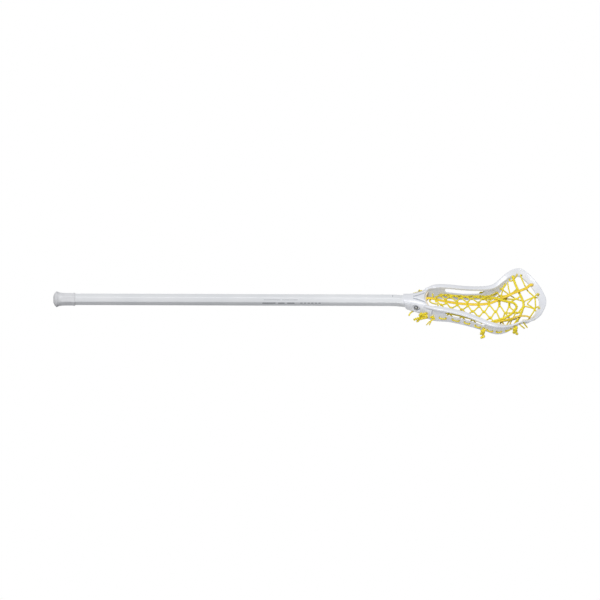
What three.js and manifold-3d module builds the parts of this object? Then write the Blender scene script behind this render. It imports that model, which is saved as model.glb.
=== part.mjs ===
// A women's lacrosse stick: a bent octagonal shaft with a rubber end cap, and a moulded head strung
// with laces, a thong and shooting strings. Millimetres. X runs from the butt to the scoop, Z points
// out of the open face of the head, and Y runs across it. The butt's flat end is at the origin.
import * as THREE from 'three';
import { ParametricGeometry } from 'three/addons/geometries/ParametricGeometry.js';
import { mergeVertices } from 'three/addons/utils/BufferGeometryUtils.js';
import Module from 'manifold-3d';

const wasm = await Module();
wasm.setup();

// ---- Driving dimensions ----
const GAP = 0.3; // kept between pieces that touch on the real object
const SHAFT = {
  acrossFlats: 25.4, wall: 1.6, start: 7.5, end: 815, bendStart: 748, bendEnd: 772, slope: 0.176 };
const COAT = { start: 48.3, thickness: 0.2 }; // the lacquer ends where the cap's sleeve begins
const CAP = { length: 48, faceRadius: 7, rimRadius: 17.7, rimX: 7.5, sleeveX: 20, sleeveWall: 0.9 };
const RIM = { chamfer: 2.5, crown: 2.5, lipDepth: 6.5, edge: 1.8, wall: 3.2, wallIn: 6, footWidth: 4.6 };
const SOCKET = { end: 817.5, clearance: 0.3 };
const BALL_STOP = { centreX: 865, radius: 43, pad: 4, padHalfWidth: 23, padTop: 7, padFloor: -14 };
const WINDOW = { start: 871, end: 952, underRim: 5.5, railAtStart: 19.5, railAtEnd: 16.5 };
const SCREW = {
  x: 803, z: -5, seatY: -16.8, headRadius: 4.4, headHeight: 2.8, shankRadius: 1.9, length: 14 };
const WASHER = { radius: 5, thickness: 0.8 };
const LACE = 1.1; // radius of the thin laces
const THICK = 2.1; // radius of the thong and the shooting strings
const HOLE = 2.3; // radius of a lace hole
const THICK_HOLE = 3.2; // radius of a hole for a thick string

// Stations of the rim's outer edge on the +Y side, from the throat to the tip of the scoop:
// x, y, z, how far the wall's foot lies inward, how deep it lies, the ledge's width and its fall.
const RIM_STATIONS = [
  [824, 30, 8, 2, 35, 5, 0],
  [846, 39.6, 10, 5, 39.5, 11.5, 0],
  [876, 43.4, 6.5, 8, 38, 11.5, 0],
  [906, 46.3, -0.5, 8, 37, 11.5, 0],
  [934, 52.5, -8.5, 8.5, 33.7, 11.5, 0],
  [958, 60, -14.8, 9, 31, 11.5, 0.5],
  [976, 66.5, -15, 9, 31.5, 11.5, 1],
  [992, 76.5, -6.5, 10, 28, 11.5, 3],
  [1006, 84, 3, 10, 22, 11.5, 6],
  [1020, 86.6, 12, 10, 19, 11.5, 10],
  [1036, 83, 18, 10, 17, 12, 13],
  [1053, 75.3, 11.6, 11, 16, 13.5, 11],
  [1069, 58.7, 4.5, 12, 12.5, 15, 8],
  [1082, 37.3, 0.8, 13, 11, 16, 6],
  [1092, 0, 0, 13.5, 10.5, 16.5, 5.5],
];

// Sections of the throat: x, half width, top, bottom.
const THROAT_SECTIONS = [
  [778, 14.8, 11, -18.6],
  [790, 16.2, 10.2, -21.8],
  [803, 20.5, 11.5, -24],
  [816, 26, 11.8, -27],
  [826, 33, 12, -28.5],
  [837, 37.2, 12, -29],
];

// The net's height along its middle, and how much lower it lies half way out: x, z.
const NET_MIDDLE = [
  [829, 6.9], [847, 3.8], [869, -2.8], [894, -8.5], [917, -11.3], [943, -12.2],
  [967, -8], [1000, -11], [1030, -14], [1044, -11], [1068, -8],
];
const NET_SHOULDER = [
  [829, -1], [903, -0.5], [925, -2], [953, -5], [982, -9], [1000, -12], [1018, -8], [1042, -2], [1068, 0],
];

// ---- Small helpers ----
const vec = (x, y, z) => new THREE.Vector3(x, y, z);
const mirror = (p) => vec(p.x, -p.y, p.z);

function interpolate(table, x) {
  const last = table.length - 1;
  const clamped = THREE.MathUtils.clamp(x, table[0][0], table[last][0]);
  const i = Math.min(last - 1, table.filter((row) => row[0] <= clamped).length - 1);
  const [x0, a] = table[i];
  const [x1, b] = table[i + 1];
  return a + ((b - a) * (clamped - x0)) / (x1 - x0);
}

// A closed solid from a geometry whose shared corners are merged.
function solid(geometry) {
  const bare = new THREE.BufferGeometry();
  bare.setAttribute('position', geometry.attributes.position);
  bare.setIndex(geometry.index);
  const merged = mergeVertices(bare, 1e-4);
  const index = merged.index.array;
  const triangles = [];
  for (let i = 0; i < index.length; i += 3) {
    const [a, b, c] = [index[i], index[i + 1], index[i + 2]];
    if (a !== b && b !== c && c !== a) triangles.push(a, b, c);
  }
  const made = new wasm.Manifold(new wasm.Mesh({
    numProp: 3,
    vertProperties: new Float32Array(merged.attributes.position.array),
    triVerts: new Uint32Array(triangles),
  }));
  return made;
}

function place(geometry, position, rotation = new THREE.Euler()) {
  const matrix = new THREE.Matrix4().makeRotationFromEuler(rotation);
  matrix.setPosition(position);
  return solid(geometry.clone().applyMatrix4(matrix));
}

const union = (solids) => solids.reduce((whole, next) => whole.add(next));

// A closed solid through sections that all hold the same number of points, capped at both ends.
function loft(sections) {
  const count = sections[0].length;
  const middle = (points) => points.reduce((sum, p) => sum.add(p), vec(0, 0, 0)).divideScalar(count);
  const rows = [
    sections[0].map(() => middle(sections[0])),
    ...sections,
    sections[0].map(() => middle(sections[sections.length - 1])),
  ];
  const surface = (u, v, target) => {
    const row = rows[Math.round(v * (rows.length - 1))];
    target.copy(row[Math.round(u * count) % count]);
  };
  return solid(new ParametricGeometry(surface, count, rows.length - 1));
}

// A cord through points: one many-sided section at each, square to the turn between its bars.
function cord(points, radius, sides = 5) {
  const directions = points.slice(1).map((p, i) => p.clone().sub(points[i]).normalize());
  let across = Math.abs(directions[0].z) < 0.9 ? vec(0, 0, 1) : vec(0, 1, 0);
  const sections = points.map((p, i) => {
    const before = directions[Math.max(0, i - 1)];
    const after = directions[Math.min(directions.length - 1, i)];
    const along = before.clone().add(after).normalize();
    across = across.clone().projectOnPlane(along).normalize();
    const other = along.clone().cross(across);
    const stretch = 1 / Math.max(0.7, along.dot(before));
    return Array.from({ length: sides }, (_, k) => {
      const angle = (2 * Math.PI * k) / sides;
      return p.clone()
        .addScaledVector(across, radius * stretch * Math.cos(angle))
        .addScaledVector(other, radius * stretch * Math.sin(angle));
    });
  });
  return loft(sections);
}

const bar = (a, b, radius, sides = 4) => cord([a, b], radius, sides);
const knot = (at, radius) => place(new THREE.OctahedronGeometry(radius, 0), at);

// ---- Shaft ----
function axisHeight(x) {
  const bent = Math.max(0, Math.min(x, SHAFT.bendEnd) - SHAFT.bendStart);
  const curved = (SHAFT.slope * bent * bent) / (2 * (SHAFT.bendEnd - SHAFT.bendStart));
  return -curved - SHAFT.slope * Math.max(0, x - SHAFT.bendEnd);
}

function axisTilt(x) {
  const share = THREE.MathUtils.clamp((x - SHAFT.bendStart) / (SHAFT.bendEnd - SHAFT.bendStart), 0, 1);
  return Math.atan(SHAFT.slope * share);
}

// An octagon square to the shaft's axis, with flats at the top, bottom and sides.
function octagonAt(x, acrossFlats) {
  const radius = acrossFlats / 2 / Math.cos(Math.PI / 8);
  const tilt = axisTilt(x);
  return Array.from({ length: 8 }, (_, i) => {
    const angle = ((i + 0.5) * Math.PI) / 4;
    const up = radius * Math.sin(angle);
    return vec(x + up * Math.sin(tilt), radius * Math.cos(angle), axisHeight(x) + up * Math.cos(tilt));
  });
}

function octagonPrism(start, end, acrossFlats) {
  const bend = [0, 0.25, 0.5, 0.75, 1].map((s) => THREE.MathUtils.lerp(SHAFT.bendStart, SHAFT.bendEnd, s));
  const stations = [start, ...bend.filter((x) => x > start && x < end), end];
  return loft(stations.map((x) => octagonAt(x, acrossFlats)));
}

const BARE_FLATS = SHAFT.acrossFlats - 2 * COAT.thickness;

function shaftSolid() {
  const bare = octagonPrism(SHAFT.start, COAT.start + 5, BARE_FLATS);
  const coated = octagonPrism(COAT.start, SHAFT.end, SHAFT.acrossFlats);
  const bore = octagonPrism(SHAFT.start - 5, SHAFT.end + 5, SHAFT.acrossFlats - 2 * SHAFT.wall);
  return bare.add(coated).subtract(bore).subtract(screwHole());
}

// ---- End cap ----
function capSolid() {
  const { faceRadius, rimRadius, rimX, sleeveX } = CAP;
  const sleeveFlats = SHAFT.acrossFlats + 2 * (GAP + CAP.sleeveWall);
  const neck = sleeveFlats / 2 + 0.4;
  const flat = (radius, x) => new THREE.Vector2(radius, x);
  const dome = new THREE.QuadraticBezierCurve(
    flat(faceRadius, 0), flat(rimRadius - 0.4, 0.6), flat(rimRadius, rimX));
  const flare = new THREE.QuadraticBezierCurve(
    flat(rimRadius, rimX + 1.2), flat(neck, rimX + 3.5), flat(neck, sleeveX));
  const outline = [flat(0, 0), ...dome.getPoints(5), ...flare.getPoints(5), flat(0, sleeveX)];
  const alongX = new THREE.Euler(0, 0, -Math.PI / 2);
  const knob = place(new THREE.LatheGeometry(outline, 32), vec(0, 0, 0), alongX);
  const sleeve = octagonPrism(sleeveX - 6, CAP.length - 3, sleeveFlats);
  const ring = octagonPrism(CAP.length - 4, CAP.length, sleeveFlats + 1);
  const bore = octagonPrism(SHAFT.start - GAP, CAP.length + 5, BARE_FLATS + 2 * GAP);
  return union([knob, sleeve, ring]).subtract(bore);
}

// ---- Head ----
const LAST = RIM_STATIONS.length - 1;
const outlinePoints = [
  ...RIM_STATIONS.map(([x, y, z]) => vec(x, y, z)),
  ...RIM_STATIONS.slice(0, -1).reverse().map(([x, y, z]) => vec(x, -y, z)),
];
const rimCurve = new THREE.CatmullRomCurve3(outlinePoints, false, 'catmullrom', 0.5);

// Everything that the rim's section needs at station t, from 0 at the throat to LAST at the tip.
function station(t) {
  const along = t / (2 * LAST);
  const rim = rimCurve.getPoint(along);
  const tangent = rimCurve.getTangent(along);
  const out = vec(-tangent.y, tangent.x, 0).normalize();
  const i = Math.min(Math.floor(t), LAST - 1);
  const [footIn, depth, ledge, drop] = [3, 4, 5, 6].map((column) => {
    return THREE.MathUtils.lerp(RIM_STATIONS[i][column], RIM_STATIONS[i + 1][column], t - i);
  });
  const scoop = THREE.MathUtils.smoothstep(t, 7, 12);
  const wallIn = Math.min(footIn, RIM.wallIn) * (1 - scoop) + footIn * scoop;
  const lipDepth = RIM.lipDepth - 2.5 * scoop;
  const fall = (drop * (wallIn - RIM.chamfer)) / (ledge - RIM.chamfer);
  const at = (inward, up) => vec(rim.x - out.x * inward, rim.y - out.y * inward, rim.z + up);
  const crown = RIM.crown - scoop;
  const wallTop = at(wallIn, crown - fall - lipDepth + 0.8);
  const foot = at(footIn, -depth);
  return { rim, out, ledge, drop, crown, lipDepth, wallTop, foot, at };
}

function rimSection(t) {
  const { out, ledge, drop, crown, lipDepth, wallTop, foot, at } = station(t);
  const beside = (p, outward, up) => vec(p.x + out.x * outward, p.y + out.y * outward, p.z + up);
  return [
    at(0, 0),
    at(RIM.chamfer, crown),
    at(ledge, crown - drop),
    at(ledge - 0.5, crown - drop - lipDepth),
    beside(wallTop, -RIM.wall / 2, 0),
    beside(foot, -RIM.wall / 2, 1.5),
    beside(foot, 0, 0),
    beside(foot, RIM.footWidth / 2, 1),
    beside(foot, RIM.footWidth / 2, 4),
    beside(wallTop, RIM.wall / 2, 0),
    at(0.5, -RIM.edge),
  ];
}

function rimSolid() {
  const steps = 2;
  const half = Array.from({ length: LAST * steps + 1 }, (_, i) => rimSection(i / steps));
  const other = half.slice(0, -1).reverse().map((section) => section.map(mirror));
  return loft([...half, ...other]);
}

// A rounded box section: a squared ellipse.
function throatSection([x, halfWidth, top, bottom]) {
  const squareness = 0.62;
  const bend = (value) => Math.sign(value) * Math.abs(value) ** squareness;
  return Array.from({ length: 20 }, (_, i) => {
    const angle = ((i + 0.5) * Math.PI) / 10;
    const y = halfWidth * bend(Math.cos(angle));
    const z = (top + bottom) / 2 + ((top - bottom) / 2) * bend(Math.sin(angle));
    const slant = 0.25 * Math.max(0, 1 - (x - THROAT_SECTIONS[0][0]) / 12);
    return vec(x - slant * (z - axisHeight(x)), y, z);
  });
}

function throatSolid() {
  const tall = new THREE.CylinderGeometry(BALL_STOP.radius, BALL_STOP.radius, 120, 48);
  const hollow = place(tall, vec(BALL_STOP.centreX, 0, 0), new THREE.Euler(Math.PI / 2, 0, 0));
  return loft(THROAT_SECTIONS.map(throatSection)).subtract(hollow);
}

// The station on the +Y side whose wall foot stands at x.
function stationAt(x) {
  let low = 0;
  let high = LAST;
  for (let i = 0; i < 30; i += 1) {
    const middle = (low + high) / 2;
    if (station(middle).foot.x < x) low = middle;
    else high = middle;
  }
  return station(low);
}

// A point on the middle of the wall, a given height above its foot.
function wallPoint(x, rise) {
  const { foot, wallTop, out } = stationAt(x);
  const at = foot.clone().lerp(wallTop, rise / (wallTop.z - foot.z));
  return { at, out };
}

const holeRise = (x) => interpolate([[850, 13], [916, 12], [966, 9], [987, 11], [1011, 7], [1040, 7]], x);

// A point beside the wall: outward is positive outside it and negative inside it.
function besideWall(x, outward, rise = holeRise(x)) {
  const { at, out } = wallPoint(x, rise);
  return at.addScaledVector(out, outward);
}

function wallHole(x, radius) {
  return bar(besideWall(x, -7), besideWall(x, 9), radius, 6);
}

function windowCutter() {
  const count = 8;
  const xs = Array.from({ length: count + 1 }, (_, i) => {
    return THREE.MathUtils.lerp(WINDOW.start, WINDOW.end, i / count);
  });
  const top = (x) => stationAt(x).rim.z - WINDOW.underRim;
  const floor = (x) => {
    const share = (x - WINDOW.start) / (WINDOW.end - WINDOW.start);
    return stationAt(x).foot.z + THREE.MathUtils.lerp(WINDOW.railAtStart, WINDOW.railAtEnd, share);
  };
  const taper = (x, share) => THREE.MathUtils.lerp(floor(x), top(x), share);
  const shape = new THREE.Shape();
  shape.moveTo(xs[0] - 4, taper(xs[0], 0.6));
  for (const x of xs) shape.lineTo(x, top(x));
  shape.lineTo(WINDOW.end + 5, taper(WINDOW.end, 0.4));
  for (const x of [...xs].reverse()) shape.lineTo(x, floor(x));
  const geometry = new THREE.ExtrudeGeometry(shape, { depth: 60, bevelEnabled: false });
  return place(geometry, vec(0, 80, 0), new THREE.Euler(Math.PI / 2, 0, 0));
}

// Where laces and thick strings pass through the wall on either side, by the x of the wall's foot.
const SIDE_HOLES = [856, 869, 884, 898, 911, 922, 935, 946, 962, 973, 983, 993, 1003, 1012];
const SIDE_END_HOLE = 1029;
const TOP_HOLE = 1038;
const SHOOTING_HOLES = [954, 1020];
const SCOOP_HOLES = [[1075, 21], [1062, 50]];
const TIE_HOLES = [{ x: 828, rise: 19, sag: [-6.5, -2.5] }, { x: 841, rise: 15, sag: [0, 0] }];

function screwHole() {
  return bar(vec(SCREW.x, 0, SCREW.z), vec(SCREW.x, -40, SCREW.z), SCREW.shankRadius + GAP, 16);
}

function screwPocket() {
  const round = new THREE.CylinderGeometry(7, 7, 20, 24).scale(1.25, 1, 1);
  return place(round, vec(SCREW.x, SCREW.seatY - 10, SCREW.z));
}

function headSolid() {
  const cutters = [windowCutter()];
  for (const x of [...SIDE_HOLES, SIDE_END_HOLE, TOP_HOLE]) cutters.push(wallHole(x, HOLE));
  for (const x of SHOOTING_HOLES) cutters.push(wallHole(x, THICK_HOLE));
  for (const [x, y] of SCOOP_HOLES) cutters.push(bar(vec(x, y, -20), vec(x, y, 20), THICK_HOLE, 6));
  for (const { x, rise } of TIE_HOLES) {
    cutters.push(bar(besideWall(x, -12, rise), besideWall(x, 14, rise), THICK_HOLE, 6));
  }
  let head = rimSolid().add(throatSolid());
  for (const cutter of cutters) head = head.subtract(cutter).subtract(cutter.mirror([0, 1, 0]));
  const socket = octagonPrism(SHAFT.bendEnd - 10, SOCKET.end, SHAFT.acrossFlats + 2 * SOCKET.clearance);
  return head.subtract(socket).subtract(screwHole()).subtract(screwPocket());
}

// ---- Foam pad, screw and washer ----
function padSolid() {
  const { centreX, radius, pad, padHalfWidth, padTop, padFloor } = BALL_STOP;
  const outer = radius - GAP;
  const inner = outer - pad;
  const reach = (r) => Math.asin(padHalfWidth / r);
  const shape = new THREE.Shape();
  shape.absarc(centreX, 0, outer, Math.PI - reach(outer), Math.PI + reach(outer), false);
  shape.absarc(centreX, 0, inner, Math.PI + reach(inner), Math.PI - reach(inner), true);
  const geometry = new THREE.ExtrudeGeometry(shape, {
    depth: padTop - padFloor, bevelEnabled: false, curveSegments: 8 });
  return place(geometry, vec(0, 0, padFloor));
}

// A lathe outline of radius and height, turned so that its height runs along -Y from the seat.
function onScrewAxis(outline) {
  const points = outline.map(([radius, height]) => new THREE.Vector2(radius, height));
  const geometry = new THREE.LatheGeometry(points, 20);
  return place(geometry, vec(SCREW.x, SCREW.seatY, SCREW.z), new THREE.Euler(Math.PI, 0, 0));
}

function washerSolid() {
  const bore = SCREW.shankRadius + GAP;
  const [low, high] = [GAP, GAP + WASHER.thickness];
  return onScrewAxis([[bore, low], [WASHER.radius, low], [WASHER.radius, high], [bore, high], [bore, low]]);
}

function screwSolid() {
  const { headRadius, headHeight, shankRadius, length } = SCREW;
  const seat = WASHER.thickness + 2 * GAP;
  const body = onScrewAxis([
    [0, seat - length], [shankRadius, seat - length + 2.5], [shankRadius, seat], [headRadius, seat],
    [headRadius, seat + 1.3], [headRadius * 0.72, seat + headHeight - 0.3], [0, seat + headHeight],
  ]);
  const slotY = SCREW.seatY - seat - headHeight + 0.6;
  const slots = [[4.6, 0.9], [0.9, 4.6]].map(([wide, high]) => {
    return place(new THREE.BoxGeometry(wide, 2, high), vec(SCREW.x, slotY, SCREW.z));
  });
  return slots.reduce((left, slot) => left.subtract(slot), body);
}

// ---- Net ----
const INSIDE = -(RIM.wall / 2 + LACE + 0.9);
const OUTSIDE = RIM.footWidth / 2 + LACE + 0.6;

// The net's height at a place: level with the thong in the middle, and with the rail at its edge.
function netHeight(x, y) {
  const edge = besideWall(Math.min(x, SIDE_END_HOLE), INSIDE);
  const middle = interpolate(NET_MIDDLE, x);
  const rail = edge.z - middle;
  const square = (16 * interpolate(NET_SHOULDER, x) - rail) / 3;
  const share = Math.min(1, Math.abs(y) / edge.y);
  return middle + square * share ** 2 + (rail - square) * share ** 4;
}

const onNet = (x, y) => vec(x, y, netHeight(x, y));

// Rows of the net's crossings, from its middle out to the rail: x, and y where it isn't on the rail.
const MIDDLE_ROW = [847.5, 869.5, 894, 917.5, 942.5, 965, 988, 1010];
const INNER_ROW = [[858, 14], [880, 17], [904, 18], [928, 20], [953, 21], [979, 21], [1001, 22]];
const OUTER_ROW = [[869, 24.5], [892, 26], [916, 27], [941, 30], [967, 34], [992, 40]];
const RAIL_ROW = [859, 877, 904, 929, 947, 984, 1000];
const SPLIT = 7; // how far from the thong a crossing lace forks
const PULL = { left: 4.5, right: 9 }; // how far the net pulls a sidewall string up, beside the pocket
const DUCK = 3.8; // how far a lace passes below the thong

// The height above the wall's foot of the net's edge: pulled up beside the pocket, not in the scoop.
const pulledRise = (x, pull) => holeRise(x) + pull * THREE.MathUtils.clamp((985 - x) / 30, 0, 1);

function crossLaceSolid() {
  const parts = [];
  const line = (...points) => parts.push(cord(points, LACE, 4));
  const middles = MIDDLE_ROW.map((x) => onNet(x, SPLIT));
  const inner = INNER_ROW.map(([x, y]) => onNet(x, y));
  const outer = OUTER_ROW.map(([x, y]) => onNet(x, y));
  for (const [side, pull] of [[(p) => p.clone(), PULL.left], [mirror, PULL.right]]) {
    const rail = RAIL_ROW.map((x) => besideWall(x, INSIDE - 2.8, pulledRise(x, pull)));
    for (const p of [...middles, ...inner, ...outer].map(side)) parts.push(knot(p, LACE * 1.5));
    for (const [i, p] of inner.entries()) {
      line(side(middles[i]), side(p));
      line(side(p), side(middles[i + 1]));
      if (i > 0) line(side(outer[i - 1]), side(p));
      if (i < outer.length) line(side(p), side(outer[i]));
    }
    for (const [i, p] of outer.entries()) line(side(rail[i]), side(p), side(rail[i + 1]));
    line(...rail.slice(0, 5).map(side));
    line(side(inner[0]), side(rail[0]));
    line(side(inner[inner.length - 1]), side(rail[rail.length - 1]));
  }
  for (const p of middles) {
    const under = (y) => vec(p.x, y, netHeight(p.x, 0) - DUCK);
    line(p, under(3), under(-3), mirror(p));
  }
  return union(parts);
}

function centreThongSolid() {
  const middle = NET_MIDDLE.slice(1, 7).map(([x, z]) => vec(x, 0, z));
  return cord([
    vec(830, 0, -16), vec(829.5, 0, 3), vec(833, 0, 7), ...middle,
    vec(990, 12, -6.5), vec(1020, 28, -4), vec(1036, 35.5, -3.5), vec(1050, 42, -4.5),
    vec(1057.5, 46.5, -11), vec(1062, 50, -10), vec(1062, 50, -1),
  ], THICK);
}

function sideThongSolid() {
  return cord([
    vec(1062, -50, -1), vec(1062, -50, -10), vec(1057.5, -46.5, -11), vec(1048, -44.5, -4),
    vec(1031, -46, -2.5), vec(1011, -46.5, -10), vec(986, -49, -16.5), vec(976, -51, -18.5),
  ], THICK);
}

// From wall to wall through a pair of holes, with a knot and a tail outside each.
function shootingString(hole, points, tail) {
  const tied = besideWall(hole, OUTSIDE + 4);
  const end = [besideWall(hole, -5), tied, ...tail];
  const otherEnd = end.map(mirror).reverse();
  return union([
    cord([...otherEnd, ...points, ...end], THICK),
    knot(tied, THICK * 2),
    knot(mirror(tied), THICK * 2),
  ]);
}

function lowerShootingString() {
  const course = [
    vec(973, -45, -20.5), vec(984, -43.5, -17.6), vec(1001, -38.5, -14.4), vec(1014, -27, -14.8),
    vec(1022, -15, -15.2), vec(1026.5, -3, -16), vec(1020, 2.5, -10), vec(1008, 1.5, -5),
    vec(995, 3.5, -3), vec(984, 8.5, -2.2), vec(975, 15, -6), vec(967, 22, -15.5), vec(960, 31, -24),
  ];
  return shootingString(SHOOTING_HOLES[0], course, [vec(957, 63, -40), vec(949, 66, -48)]);
}

function upperShootingString() {
  const half = [vec(1025, 58, -5.5), vec(1033, 37, -11), vec(1039, 17, -11)];
  const course = [...half.map(mirror), vec(1042, 0, -11), ...[...half].reverse()];
  return shootingString(SHOOTING_HOLES[1], course, [vec(1024, 88, -6), vec(1022, 92, -14)]);
}

// Where the sidewall string passes below a shooting string's hole.
const underShooting = (hole) => [-4, 4].map((dx) => besideWall(hole + dx, INSIDE - 1, holeRise(hole) - 6));

// In and out through the side holes by pairs, so that a dash shows outside between each pair.
function sidewallString(turn, pull) {
  const points = [];
  for (const [i, x] of SIDE_HOLES.entries()) {
    const passes = [besideWall(x, INSIDE), besideWall(x, OUTSIDE)];
    points.push(...(i % 2 === 0 ? passes : passes.reverse()));
    if (i % 2 === 1 && x < SHOOTING_HOLES[0] - 10) {
      const between = (x + SIDE_HOLES[i + 1]) / 2;
      points.push(besideWall(between, INSIDE, pulledRise(between, pull)));
    }
    const [hole] = SHOOTING_HOLES;
    if (x < hole && SIDE_HOLES[i + 1] > hole) points.push(...underShooting(hole));
  }
  points.push(
    ...underShooting(SHOOTING_HOLES[1]), besideWall(SIDE_END_HOLE, INSIDE - 1),
    besideWall(SIDE_END_HOLE, OUTSIDE + 2), vec(1042, 84, -7));
  return cord(points.map(turn), LACE);
}

// Across the scoop, looped over it at two holes, with small laces towards the upper shooting string.
function topStringSolid() {
  const [loopX, loopY] = SCOOP_HOLES[0];
  const half = [
    vec(1052, 84, -4), besideWall(TOP_HOLE, OUTSIDE + 2), besideWall(TOP_HOLE, INSIDE),
    vec(1049, 50, -12), vec(1055, 39, -13.5), vec(1066, 19, -8)];
  const loop = [vec(1066, 19, -8), vec(1070, 20, 0), vec(loopX, loopY, 1), vec(loopX, loopY, -13)];
  const fan = [
    [vec(1066, 19, -8), vec(1046, 9, -9)],
    [vec(1066, 19, -8), vec(1050, 0, -10)],
  ];
  const branches = [loop, ...fan].flatMap((points) => [cord(points, LACE), cord(points.map(mirror), LACE)]);
  const knots = [vec(1066, 19, -8), vec(1066, -19, -8), vec(1050, 0, -10)].map((p) => knot(p, LACE * 1.6));
  const across = cord([...half, vec(1068, 0, -8.5), ...half.map(mirror).reverse()], LACE);
  return union([across, ...branches, ...knots]);
}

function throatStringSolid() {
  const half = [besideWall(838, INSIDE - 1, 24), vec(842, 18, -1), vec(838, 6, 1)];
  return cord([...half, vec(838, 0, 0.5), ...half.map(mirror).reverse()], LACE);
}

// A thick string's end: through the wall, knotted outside it, with its tails hanging.
function tieSolid({ x, rise, sag: [along, down] }, tails, turn) {
  const start = besideWall(x, -5, rise);
  const out = besideWall(x, 4.5, rise);
  const held = besideWall(x, 6.3, rise).add(vec(along, 0, down));
  const lines = tails.map(([dx, outward, dz]) => {
    return cord([held, vec(held.x + dx, held.y + outward, held.z + dz)].map(turn), THICK * 0.8);
  });
  return union([cord([start, out, held].map(turn), THICK), knot(turn(held), THICK * 2.2), ...lines]);
}

// ---- Export ----
function mesh(name, made, colour, roughness, metalness = 0) {
  const { vertProperties, triVerts, numProp } = made.getMesh();
  const geometry = new THREE.BufferGeometry();
  const positions = new Float32Array((vertProperties.length / numProp) * 3);
  for (let i = 0; i < positions.length / 3; i += 1) {
    for (let k = 0; k < 3; k += 1) positions[3 * i + k] = vertProperties[numProp * i + k];
  }
  geometry.setAttribute('position', new THREE.BufferAttribute(positions, 3));
  geometry.setIndex(new THREE.BufferAttribute(new Uint32Array(triVerts), 1));
  geometry.computeVertexNormals();
  const material = new THREE.MeshStandardMaterial({ color: colour, roughness, metalness });
  const result = new THREE.Mesh(geometry, material);
  result.name = name;
  return result;
}

const stick = new THREE.Group();
const YELLOW = 0xf0cf2c;
const same = (p) => p.clone();
const THROAT_TAILS = [[-14.5, 6, -15], [-21.5, 5, -9.5]];
const RAIL_TAILS = [[-13, 9, -15], [-7, 9, -15]];
stick.add(
  mesh('shaft', shaftSolid(), 0xeeeff2, 0.35),
  mesh('butt_end_cap', capSolid(), 0xf2f2f0, 0.7),
  mesh('head_frame', headSolid(), 0xf6f7fa, 0.3),
  mesh('ball_stop_pad', padSolid(), 0xd8d0b8, 0.95),
  mesh('screw_washer', washerSolid(), 0xb8bcc2, 0.3, 1),
  mesh('head_screw', screwSolid(), 0xb0b4ba, 0.3, 1),
  mesh('centre_thong', centreThongSolid(), 0xf2b21e, 0.8),
  mesh('side_thong', sideThongSolid(), 0xf0c01e, 0.8),
  mesh('cross_lace', crossLaceSolid(), YELLOW, 0.8),
  mesh('lower_shooting_string', lowerShootingString(), YELLOW, 0.8),
  mesh('upper_shooting_string', upperShootingString(), YELLOW, 0.8),
  mesh('sidewall_string_left', sidewallString(same, PULL.left), YELLOW, 0.8),
  mesh('sidewall_string_right', sidewallString(mirror, PULL.right), YELLOW, 0.8),
  mesh('top_string', topStringSolid(), YELLOW, 0.8),
  mesh('throat_string', throatStringSolid(), YELLOW, 0.8),
  mesh('throat_tie_left', tieSolid(TIE_HOLES[0], THROAT_TAILS, same), YELLOW, 0.8),
  mesh('throat_tie_right', tieSolid(TIE_HOLES[0], THROAT_TAILS, mirror), YELLOW, 0.8),
  mesh('rail_tie_left', tieSolid(TIE_HOLES[1], RAIL_TAILS, same), YELLOW, 0.8),
  mesh('rail_tie_right', tieSolid(TIE_HOLES[1], RAIL_TAILS, mirror), YELLOW, 0.8),
);

export default stick;
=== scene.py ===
"""A women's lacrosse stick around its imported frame: lacquered octagonal shaft, rubber end cap, moulded
white head and a yellow net of braided laces and twisted strings. Metres; +X runs from the butt to the
scoop, +Z out of the head's open face, +Y across it. Tables are in millimetres and are scaled once."""
import math
from types import SimpleNamespace

import bmesh
import bpy
import numpy as np
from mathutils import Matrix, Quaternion, Vector


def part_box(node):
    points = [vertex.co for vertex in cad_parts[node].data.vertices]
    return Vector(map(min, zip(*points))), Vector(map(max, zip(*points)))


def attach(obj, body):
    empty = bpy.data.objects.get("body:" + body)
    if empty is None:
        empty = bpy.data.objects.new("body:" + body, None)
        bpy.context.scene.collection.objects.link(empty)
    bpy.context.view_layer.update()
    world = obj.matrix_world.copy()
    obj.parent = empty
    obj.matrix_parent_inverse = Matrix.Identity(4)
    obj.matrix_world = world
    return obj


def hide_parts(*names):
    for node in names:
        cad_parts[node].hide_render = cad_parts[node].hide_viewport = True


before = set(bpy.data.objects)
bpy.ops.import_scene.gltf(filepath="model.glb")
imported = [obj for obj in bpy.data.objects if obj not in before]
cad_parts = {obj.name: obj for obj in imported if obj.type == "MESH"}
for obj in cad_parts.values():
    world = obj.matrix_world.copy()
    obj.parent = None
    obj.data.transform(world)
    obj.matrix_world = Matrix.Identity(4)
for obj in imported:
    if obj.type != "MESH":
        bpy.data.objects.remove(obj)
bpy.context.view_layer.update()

MM = 0.001
DETAIL = 1.0

# ---- Driving dimensions, as in the CAD model ----
GAP = 0.3 * MM  # between pieces that fit into one another
SHAFT_FLATS = 25.4 * MM
SHAFT_WALL = 1.6 * MM
SHAFT_ROUNDING = 1.3 * MM
SHAFT_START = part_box("shaft")[0].x
SHAFT_END = 815 * MM
BEND_START = 748 * MM
BEND_END = 772 * MM
BEND_SLOPE = 0.176
CAP_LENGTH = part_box("butt_end_cap")[1].x
CAP_WALL = 0.9 * MM
CAP_RIM_RADIUS = 17.7 * MM
CAP_RIM_X = 7.5 * MM
CAP_FACE_RADIUS = 7 * MM
CAP_SLEEVE_X = 20 * MM
STOP_CENTRE_X = 865 * MM
STOP_RADIUS = 43 * MM
PAD_THICKNESS = 4 * MM
PAD_HALF_WIDTH = 23 * MM
LACE = 1.55 * MM
THICK = 2.95 * MM
THONG_HALF_WIDTH = 3.5 * MM
THONG_HALF_HEIGHT = 1.7 * MM
THONG_PITCH = 3.4 * MM
HOLE = 2.3 * MM
THICK_HOLE = 3.2 * MM
GROOVE_RADIUS = 2.1 * MM

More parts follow.
